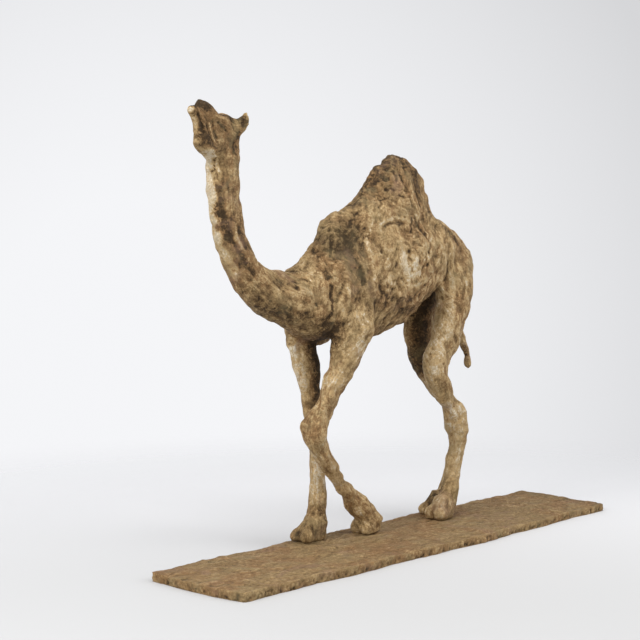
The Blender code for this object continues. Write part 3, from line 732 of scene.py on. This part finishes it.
for paint, lines, head_lines in ((pale, pale_lines, head_pale_lines), (dark, dark_lines, head_dark_lines)):
    for line, reach, strength in lines:
        paint += strength * beside_line(mottled, on_figure(line), reach, FLANKWAYS)
    for line, reach, strength in head_lines:
        paint += strength * beside_line(heading, np.array(line) * HUNDREDTH, reach, SIDEWAYS)
for place, reach, depth in holes:
    if depth > 0.0:
        dark += 0.9 * spread_at(on_figure(place), 1.2 * reach)
# Painted highlight: the neck is paler above 0.4 m where it faces left, towards the window lamp.
lit_throat_side = np.clip((-skin.normals @ RIGHTWARD - 0.55) / 0.35, 0.0, 1.0)
pale += 0.5 * neck * lit_throat_side * (skin.points[:, 2] > 0.40)
# Painted shade: the trunk and neck are darker where they face downwards.
dark += 0.55 * (trunk + neck) * np.clip(-skin.normals[:, 2] - 0.15, 0.0, 1.0)
green = spread_at(on_figure((-19.0, -3.0, 72.0)), 40, 50, 34)
green += 0.6 * spread_at(on_figure((4.0, 0.0, 91.0)), 50, 50, 20)
dark += 0.12 * green

# Where the tone of the whole skin shifts: place in hundredths, reach in millimetres, more than 0 lighter.
# Most shifts are the patina's own, such as the darker withers and hump; two are painted light, marked below.
shades = (
    ((-19, -3, 70), (40, 50, 36), -0.30),
    ((3, 0, 87), (66, 80, 42), -0.20),
    ((-12.5, -4.5, 73.5), (18, 40, 24), -0.18),
    ((-49.5, -2.8, 66), (34, 40, 34), -0.10),
    ((-52.5, -2.5, 75), (16, 30, 34), -0.12),
    ((-39, -4, 57), (48, 50, 30), -0.05),
    ((-28.5, -4.6, 26.8), (18, 20, 20), -0.18),
    # Painted shade on the far fore foot.
    ((-25, 2, 2.5), (26, 26, 20), -0.40),
    ((20.5, -7.8, 61), (18, 20, 40), 0.12),
    ((17.2, -7.6, 50), (18, 20, 34), 0.12),
    ((12, -7.2, 41), (18, 20, 26), 0.18),
    # Painted highlight on the far foreleg's lit left edge.
    ((-25.5, 3.8, 46), (12, 14, 40), 0.30),
    ((-20.7, 2.3, 13), (20, 20, 40), 0.22),
    ((23.3, -5.6, 24), (20, 20, 26), 0.20),
    ((1, -9.5, 64), (22, 30, 16), 0.06),
    ((-18.6, -8, 44), (26, 24, 46), 0.20),
    ((-49, -1, 76), (30, 30, 60), -0.04),
)
shade = -0.10 * on_head_share
for place, reach, lighter in shades:
    shade += lighter * spread_at(on_figure(place), *reach)
skin.keep("shade", shade)
skin.keep("pale", pale)
skin.keep("dark", dark)
skin.keep("green", green)
for face in camel.data.polygons:
    face.use_smooth = True


class Amount:
    """A number in a finish: adding or multiplying two of them adds the Math node that does it."""

    def __init__(self, finish, socket):
        self.finish = finish
        self.socket = socket

    def blended(self, how, other, flipped=False):
        """Math node of that name on this number and the other, or the other way round."""
        pair = [self, other]
        if flipped:
            pair.reverse()
        return self.finish.number("ShaderNodeMath", {"operation": how}, *pair)

    def __add__(self, other):
        return self.blended("ADD", other)

    __radd__ = __add__

    def __sub__(self, other):
        return self.blended("SUBTRACT", other)

    def __rsub__(self, other):
        return self.blended("SUBTRACT", other, True)

    def __mul__(self, other):
        return self.blended("MULTIPLY", other)

    __rmul__ = __mul__

    def __abs__(self):
        return self.finish.number("ShaderNodeMath", {"operation": "ABSOLUTE"}, self)


class Finish:
    """A finish that is mixed from nodes: one method makes a node, the others name what it gives."""

    def __init__(self, name):
        self.material = bpy.data.materials.new(name)
        self.material.use_nodes = True
        self.tree = self.material.node_tree
        self.shader = self.tree.nodes["Principled BSDF"]

    def node(self, kind, settings, *inputs, **named):
        """Node of one kind: its settings come first, then the values or links of its sockets."""
        made = self.tree.nodes.new(kind)
        for key, value in settings.items():
            setattr(made, key, value)
        for key, value in [*enumerate(inputs), *named.items()]:
            socket = made.inputs[key]
            if isinstance(value, Amount):
                self.tree.links.new(value.socket, socket)
            else:
                socket.default_value = value
        return made

    def number(self, kind, settings, *inputs, **named):
        """What the first output of such a node gives."""
        return Amount(self, self.node(kind, settings, *inputs, **named).outputs[0])

    def spot(self):
        """Place on the piece in metres."""
        return Amount(self, self.node("ShaderNodeTexCoord", {}).outputs["Object"])

    def kept(self, name):
        """Number stored on the mesh under that name."""
        return Amount(self, self.node("ShaderNodeAttribute", {"attribute_name": name}).outputs["Fac"])

    def brushed(self, scale, step):
        """Fine noise smeared along the kept grain: the mean of seven readings, spread out to 0 to 1."""
        grain = Amount(self, self.node("ShaderNodeAttribute", {"attribute_name": "grain"}).outputs["Vector"])
        total = 0.0
        for k in range(-3, 4):
            shift = (step * k,) * 3
            moved = {"operation": "MULTIPLY_ADD"}
            place = self.number("ShaderNodeVectorMath", moved, grain, shift, self.spot())
            sockets = {"Vector": place, "Scale": scale, "Detail": 2.0, "Roughness": 0.6}
            total = total + self.number("ShaderNodeTexNoise", {}, **sockets)
        return (total - 3.5) * 0.27 + 0.5

    def speckle(self, scale, detail=3.0, roughness=0.6, bent=0.0):
        """Cloudy noise from 0 to 1 with lumps about 1/scale metres wide, its space bent by another noise."""
        sockets = {"Scale": scale, "Detail": detail, "Roughness": roughness, "Distortion": bent}
        return self.number("ShaderNodeTexNoise", {}, Vector=self.spot(), **sockets)

    def between(self, value, low, high):
        """0 below low, 1 above high, smooth between."""
        rise = {"interpolation_type": "SMOOTHSTEP"}
        return self.number("ShaderNodeMapRange", rise, value, low, high, 0.0, 1.0)

    def tinted(self, share, under, over):
        """Colour that goes from under to over as the share goes from 0 to 1."""
        made = self.node("ShaderNodeMix", {"data_type": "RGBA"})
        for key, value in ((0, share), (6, under), (7, over)):
            if isinstance(value, Amount):
                self.tree.links.new(value.socket, made.inputs[key])
            else:
                made.inputs[key].default_value = value if key == 0 else (*value, 1.0)
        return Amount(self, made.outputs[2])

    def feed(self, name, value):
        """Links what was mixed to a socket of the shader."""
        self.tree.links.new(value.socket, self.shader.inputs[name])

    def rough_skin(self, height, distance, strength):
        """Small relief under the modelled one: the height in metres times distance."""
        bump = self.node("ShaderNodeBump", {}, Strength=strength, Distance=distance, Height=height)
        self.tree.links.new(bump.outputs[0], self.shader.inputs["Normal"])


# Colours of the patina, also used for its painted highlight and painted shade: linear red, green and blue.
BLACKENED_AND_SHADED, UMBER = (0.042, 0.024, 0.009), (0.115, 0.066, 0.026)
RED_BROWN, OCHRE = (0.240, 0.134, 0.054), (0.262, 0.172, 0.074)
SAND, CREAM = (0.460, 0.315, 0.148), (0.720, 0.640, 0.490)
RUST, DUST = (0.262, 0.158, 0.104), (0.255, 0.200, 0.098)
MOSS_SHADE, MOSS = (0.045, 0.029, 0.010), (0.310, 0.216, 0.100)


def patina(name, shade, contrast, laid_on):
    """Earth-coloured patina, mixed by one tone: blackened at 0, then umber, brown and sand, cream above 1.

    The tone is 0.53 plus the shade, plus contrast times the sum of clouds of four sizes, brushed grain,
    streaks, seams and ridges, less what the kept hollows take. With laid_on the kept shades are added,
    the tone goes to cream or to black in the kept pale and dark patches, and the kept green turns it mossy.
    Besides the patina's own patches, the kept shades, pale and dark patches hold painted highlight and
    painted shade, so with laid_on this finish also paints light and shade.
    """
    finish = Finish(name)
    hollow = finish.kept("hollow")
    deep = finish.kept("deep")
    streak = finish.kept("streak")
    cloud = finish.speckle(30.0, 3.0, 0.6, 0.6)
    swirl = finish.speckle(85.0, 5.0, 0.62, 1.6)
    grit = finish.speckle(190.0, 4.0, 0.62, 0.8)
    fine = finish.speckle(420.0, 3.0, 0.6)
    brush = finish.brushed(380.0, 0.0018)
    seam = 1.0 - finish.between(abs(finish.speckle(60.0, 4.0, 0.6, 2.2) - 0.5), 0.0, 0.040)
    ridge = 1.0 - finish.between(abs(finish.speckle(105.0, 3.0, 0.55, 2.0) - 0.53), 0.0, 0.055)
    tone = 0.65 * (cloud - 0.5) + 0.90 * (swirl - 0.5) + 0.30 * (grit - 0.5) + 0.40 * (fine - 0.5)
    tone = tone + 1.10 * (brush - 0.5) + 0.11 * streak
    tone = tone - 0.12 * seam + 0.18 * ridge
    tone = 0.53 + shade + contrast * tone - 0.27 * hollow - 0.30 * deep
    if laid_on:
        # The kept shades, pale and dark patches: the patina's own patches, and painted highlight and painted
        # shade.
        mottle = 0.45 + 1.1 * finish.between(finish.speckle(170.0, 4.0, 0.65, 1.0), 0.36, 0.64)
        pale = finish.between(mottle * finish.kept("pale"), 0.0, 0.95)
        dark = finish.between(mottle * finish.kept("dark"), 0.0, 0.90)
        tone = tone + finish.kept("shade")
        tone = tone + pale * (1.02 - tone + 0.6 * (fine - 0.5))
        tone = tone + 0.92 * dark * (0.02 - tone + 0.7 * (grit - 0.5))
    ochre = finish.between(finish.speckle(14.0, 4.0, 0.6, 0.8), 0.38, 0.62)
    brown = finish.tinted(ochre, RED_BROWN, OCHRE)
    colour = finish.tinted(finish.between(tone, 0.00, 0.24), BLACKENED_AND_SHADED, UMBER)
    colour = finish.tinted(finish.between(tone, 0.14, 0.50), colour, brown)
    colour = finish.tinted(finish.between(tone, 0.48, 0.82), colour, SAND)
    colour = finish.tinted(finish.between(tone, 0.82, 1.20), colour, CREAM)
    rust = finish.between(finish.speckle(17.0, 4.0, 0.6, 1.0), 0.54, 0.70)
    dust = finish.between(finish.speckle(24.0, 5.0, 0.65, 1.2), 0.50, 0.68)
    colour = finish.tinted(0.40 * rust, colour, RUST)
    colour = finish.tinted(0.35 * dust, colour, DUST)
    if laid_on:
        moss = finish.tinted(finish.between(tone, 0.00, 0.80), MOSS_SHADE, MOSS)
        grown = finish.kept("green") + 1.4 * (finish.speckle(45.0, 5.0, 0.7) - 0.5)
        colour = finish.tinted(finish.between(grown, 0.30, 0.90) * 0.60, colour, moss)
    finish.feed("Base Color", colour)
    finish.feed("Roughness", 0.82 - 0.20 * finish.between(tone, 0.3, 0.9) + 0.1 * (fine - 0.5))
    finish.shader.inputs["Metallic"].default_value = 0.10
    finish.shader.inputs["Specular IOR Level"].default_value = 0.28
    height = 0.5 * swirl + 0.3 * grit + 0.4 * fine + 0.7 * brush - 0.5 * seam + 0.5 * ridge
    finish.rough_skin(height, 0.0014, 0.8)
    return finish.material


camel.data.materials.clear()
camel.data.materials.append(patina("camel_patina_and_painted_light", 0.0, 1.0, True))
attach(camel, "root")
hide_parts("camel")


# Plank: a rough bronze slab cast from clay that was spread by hand, with a crumbled rim. Its
# underside is flat, and it carries the feet.
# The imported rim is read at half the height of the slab.
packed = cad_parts["base"].data.vertices
rim = np.empty(len(packed) * 3)
packed.foreach_get("co", rim)
rim = np.unique(np.round(rim.reshape(-1, 3), 6), axis=0)
rim = rim[np.abs(rim[:, 2] - PLANK_TOP / 2) < 0.0004]
NEAR_END = 0.385
NEAR_SIDE = 0.06
HALF_WIDTH = 0.08
ALONG_STEPS = 470
ACROSS_STEPS = 96
WALL_STEPS = 7


def rim_reach(column, value, ways):
    """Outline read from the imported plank: its reach in one direction, met between its rim points."""
    chosen = rim[ways]
    order = np.argsort(chosen[:, column])
    return np.interp(value, chosen[order, column], chosen[order, 1 - column])


def plank_skin(s, t):
    """Top and walls of the slab: s along and t across go from -1 to 1, their last steps down the wall."""
    wall = 2.0 * WALL_STEPS
    down_s = np.clip((np.abs(s) - (1 - wall / ALONG_STEPS)) * ALONG_STEPS / wall, 0.0, 1.0)
    down_t = np.clip((np.abs(t) - (1 - wall / ACROSS_STEPS)) * ACROSS_STEPS / wall, 0.0, 1.0)
    flat_s = np.clip(s / (1 - wall / ALONG_STEPS), -1.0, 1.0)
    flat_t = np.clip(t / (1 - wall / ACROSS_STEPS), -1.0, 1.0)
    y_guess = flat_t * HALF_WIDTH
    left = rim_reach(1, y_guess, rim[:, 0] < -NEAR_END)
    right = rim_reach(1, y_guess, rim[:, 0] > NEAR_END)
    x = left + (right - left) * (flat_s + 1.0) / 2.0
    near = rim_reach(0, x, rim[:, 1] < -NEAR_SIDE)
    far = rim_reach(0, x, rim[:, 1] > NEAR_SIDE)
    y = near + (far - near) * (flat_t + 1.0) / 2.0
    down = np.maximum(down_s, down_t)
    z = PLANK_TOP * (1.0 - down)
    return np.stack([x, y, z], -1), down


rows, columns = ALONG_STEPS + 1, ACROSS_STEPS + 1
s, t = np.meshgrid(np.linspace(-1, 1, rows), np.linspace(-1, 1, columns), indexing="ij")
s, t = s.ravel(), t.ravel()
slab, down = plank_skin(s, t)
# Quads over the top and down the walls, and one face round their foot as the underside.
corner = np.arange(rows * columns).reshape(rows, columns)
quads = np.stack([corner[:-1, :-1], corner[1:, :-1], corner[1:, 1:], corner[:-1, 1:]], -1).reshape(-1, 4)
loop = np.concatenate([corner[:, 0], corner[-1, 1:], corner[-2::-1, -1], corner[0, -2:0:-1]])
mesh = bpy.data.meshes.new("plank_skin")
mesh.from_pydata(slab.tolist(), [], quads.tolist() + [loop[::-1].tolist()])
mesh.update()
plank = bpy.data.objects.new("plank_skin", mesh)
bpy.context.scene.collection.objects.link(plank)
bed = Skin(mesh)
# The wall is pushed out to the sides, and at the ends of the slab lengthways too.
outward = np.stack([slab[:, 0] * 0.0, np.sign(slab[:, 1]), np.zeros(len(slab))], 1)
outward[np.abs(s) > 1 - 2.0 * WALL_STEPS / ALONG_STEPS] += (1.0, 0.0, 0.0)
outward[:, 0] *= np.sign(slab[:, 0])
outward /= np.linalg.norm(outward, axis=1)[:, None]
lay = np.tile((1.0, 0.0, 0.0), (len(slab), 1))
up = np.tile((0.0, 0.0, 1.0), (len(slab), 1))
spread = dabs(slab, up, lay, size=0.0260, stretch=1.8, seed=71)
crumbs = dabs(slab, up, lay, size=0.0070, stretch=1.1, seed=83)
drag = slab * (0.22, 1.0, 1.0)
strewn = np.clip(0.5 + waves(slab, 0.06, 95), 0.1, 1.2)
height = (spread - 0.3) * 0.0011 + (crumbs - 0.25) * 0.0007 * strewn
height += clouds(slab, 0.045, 91, 3) * 0.0008 + clouds(slab, 0.007, 97, 3) * 0.0004
height += clouds(drag, 0.005, 97, 2) * 0.00012
edge = np.clip(down * 1.4, 0.0, 1.0)
rim_near = np.clip((np.maximum(np.abs(s) * 3.2 - 2.2, np.abs(t)) - 0.75) / 0.25, 0.0, 1.0)
moved = slab.copy()
moved[:, 2] += height * (1.0 - edge) - 0.0002 * rim_near * (1.0 - edge)
ragged = (crumbs - 0.4) * 0.0016 + clouds(slab, 0.008, 89, 3) * 0.0022
moved += outward * (ragged * edge * (1.0 - down**6))[:, None]
moved[:, 2] = np.maximum(moved[:, 2], 0.0)
moved[down >= 1.0, 2] = 0.0
bed.place(moved)
bed.keep("hollow", np.clip(bed.hollowness(3) * 2400.0, -0.25, 1.2))
bed.keep("deep", np.clip(bed.hollowness(20) * 500.0, -0.2, 1.2))
tip = np.clip((slab[:, 0] - 0.37) / 0.02, 0.0, 1.0)
bed.keep("streak", 0.8 * clouds(slab, 0.012, 101, 3) - 1.8 * tip)
turn = 1.2 * waves(slab, 0.05, 99)
bed.keep("grain", np.stack([np.cos(turn), np.sin(turn), 0.0 * turn], 1))
for face in mesh.polygons:
    face.use_smooth = len(face.vertices) == 4
mesh.materials.append(patina("plank_patina", -0.08, 0.50, False))
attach(plank, "root")
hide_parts("base")


# Room: a plain pale round floor, a little paler further in as painted light, that fades into the room's pale
# light.
# That light is brightest behind the figure, on the left of the picture. Soft lamps stand on the
# left, above, and in front on the right.
FLOOR_RADIUS = 3.0
FLOOR_SIDES = 96
mesh = bpy.data.meshes.new("floor")
ring = np.linspace(0.0, 2.0 * math.pi, FLOOR_SIDES, endpoint=False)
edge_points = FLOOR_RADIUS * np.stack([np.cos(ring), np.sin(ring), np.zeros(FLOOR_SIDES)], 1)
mesh.from_pydata(edge_points.tolist(), [], [list(range(FLOOR_SIDES))])
floor = bpy.data.objects.new("floor", mesh)
bpy.context.scene.collection.objects.link(floor)
ground = Finish("floor_white")
INWARD = (0.733, 0.681, 0.0)
# Painted light on the floor: its colour is greyer in front and paler further in.
FRONT_GREY, FAR_GREY = (0.515, 0.515, 0.513), (0.70, 0.70, 0.71)
inward = ground.node("ShaderNodeVectorMath", {"operation": "DOT_PRODUCT"}, ground.spot(), INWARD)
depth = ground.between(Amount(ground, inward.outputs["Value"]), -0.45, 0.50)
ground.feed("Base Color", ground.tinted(depth, FRONT_GREY, FAR_GREY))
ground.shader.inputs["Roughness"].default_value = 0.75
clear = ground.node("ShaderNodeBsdfTransparent", {})
place = ground.node("ShaderNodeVectorMath", {"operation": "LENGTH"}, ground.spot())
fade = ground.between(Amount(ground, place.outputs["Value"]), 0.40, 1.3)
mixed = ground.node("ShaderNodeMixShader", {}, fade)
ground.tree.links.new(ground.shader.outputs[0], mixed.inputs[1])
ground.tree.links.new(clear.outputs[0], mixed.inputs[2])
ground.tree.links.new(mixed.outputs[0], ground.tree.nodes["Material Output"].inputs["Surface"])
mesh.materials.append(ground.material)

# The room's light grows from dim to bright between two cosines to the brightest way.
BRIGHT_WAY = (0.634, 0.770, -0.069)
GLOW_EDGE, GLOW_CORE = 0.902, 0.992
DIM, BRIGHT = 0.76, 1.03
world = bpy.data.worlds.new("pale_room")
world.use_nodes = True
glow = world.node_tree.nodes["Background"]
glow.inputs["Color"].default_value = (0.885, 0.89, 0.91, 1.0)
look = world.node_tree.nodes.new("ShaderNodeTexCoord")
toward = world.node_tree.nodes.new("ShaderNodeVectorMath")
toward.operation = "DOT_PRODUCT"
toward.inputs[1].default_value = BRIGHT_WAY
level = world.node_tree.nodes.new("ShaderNodeMapRange")
for socket, value in enumerate((GLOW_EDGE, GLOW_CORE, DIM, BRIGHT), 1):
    level.inputs[socket].default_value = value
world.node_tree.links.new(look.outputs["Generated"], toward.inputs[0])
world.node_tree.links.new(toward.outputs["Value"], level.inputs[0])
world.node_tree.links.new(level.outputs[0], glow.inputs["Strength"])
bpy.context.scene.world = world
bpy.context.scene.view_settings.view_transform = "Standard"


def soft_lamp(name, place, aim, width, watts):
    """Round lamp at a place in metres, turned to its aim."""
    lamp = bpy.data.lights.new(name, "AREA")
    lamp.shape = "DISK"
    lamp.size = width
    lamp.energy = watts
    stand = bpy.data.objects.new(name, lamp)
    stand.location = place
    stand.rotation_euler = (Vector(aim) - Vector(place)).to_track_quat("-Z", "Y").to_euler()
    bpy.context.scene.collection.objects.link(stand)


soft_lamp("window_left", (-2.0, 0.0, 1.3), (0.0, 0.0, 0.3), 1.2, 33.0)
soft_lamp("sky_above", (-0.2, -0.6, 2.2), (0.0, 0.0, 0.3), 1.6, 19.0)
soft_lamp("room_right", (0.7, -1.9, 1.1), (0.0, 0.0, 0.3), 1.4, 18.0)

# Camera at the photo's viewing angle: low, in front and to the animal's left.
VIEW_TURN = 0.82212936
VIEW_DIP = 0.03714853
level_way = Vector((math.sin(VIEW_TURN), math.cos(VIEW_TURN), 0.0))
ahead = level_way * math.cos(VIEW_DIP) - Vector((0.0, 0.0, math.sin(VIEW_DIP)))
lens = bpy.data.cameras.new("camera")
lens.lens = 73.125
lens.sensor_width = 36.0
camera = bpy.data.objects.new("camera", lens)
camera.location = (-1.4305, -1.1616, 0.3830)
camera.rotation_euler = ahead.to_track_quat("-Z", "Y").to_euler()
bpy.context.scene.collection.objects.link(camera)
bpy.context.scene.camera = camera
